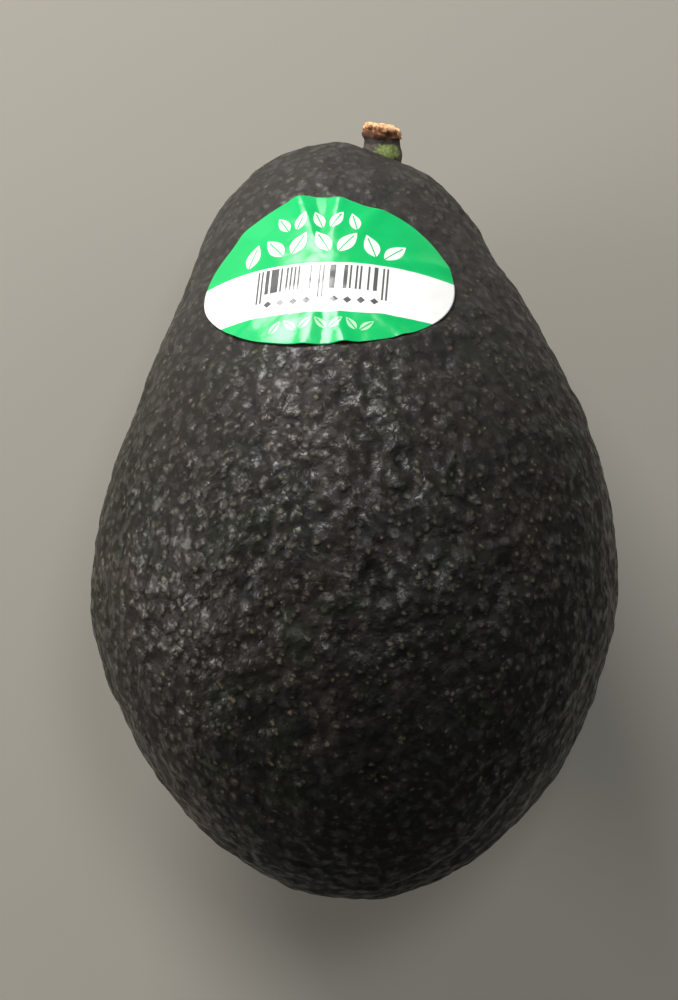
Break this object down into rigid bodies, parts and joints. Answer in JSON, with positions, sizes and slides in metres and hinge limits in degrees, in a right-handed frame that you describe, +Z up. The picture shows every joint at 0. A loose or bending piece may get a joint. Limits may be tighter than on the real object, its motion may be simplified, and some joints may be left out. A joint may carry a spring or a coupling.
{
  "type": "avocado",
  "caption": "Whole ripe avocado with dark pebbled skin, lying on its side, with a short woody stem stub and a plain oval fruit label.",
  "frame": {"origin": "middle of the small flat spot that the fruit rests on, straight below its centre of mass", "axes": "+Z up, +Y along the fruit towards its stem end, +X to the right as seen from above with the stem end away from the viewer"},
  "size_m": [0.078, 0.1159, 0.074],
  "materials": {
    "skin": "dark brown-black avocado skin, pebbled, waxy satin",
    "stem": "rough dry bark with a torn corky end",
    "label": "thin glossy printed film"
  },
  "bodies": {
    "root": {"fruit": "skin", "stem": "stem", "label": "label"}
  },
  "joints": []
}
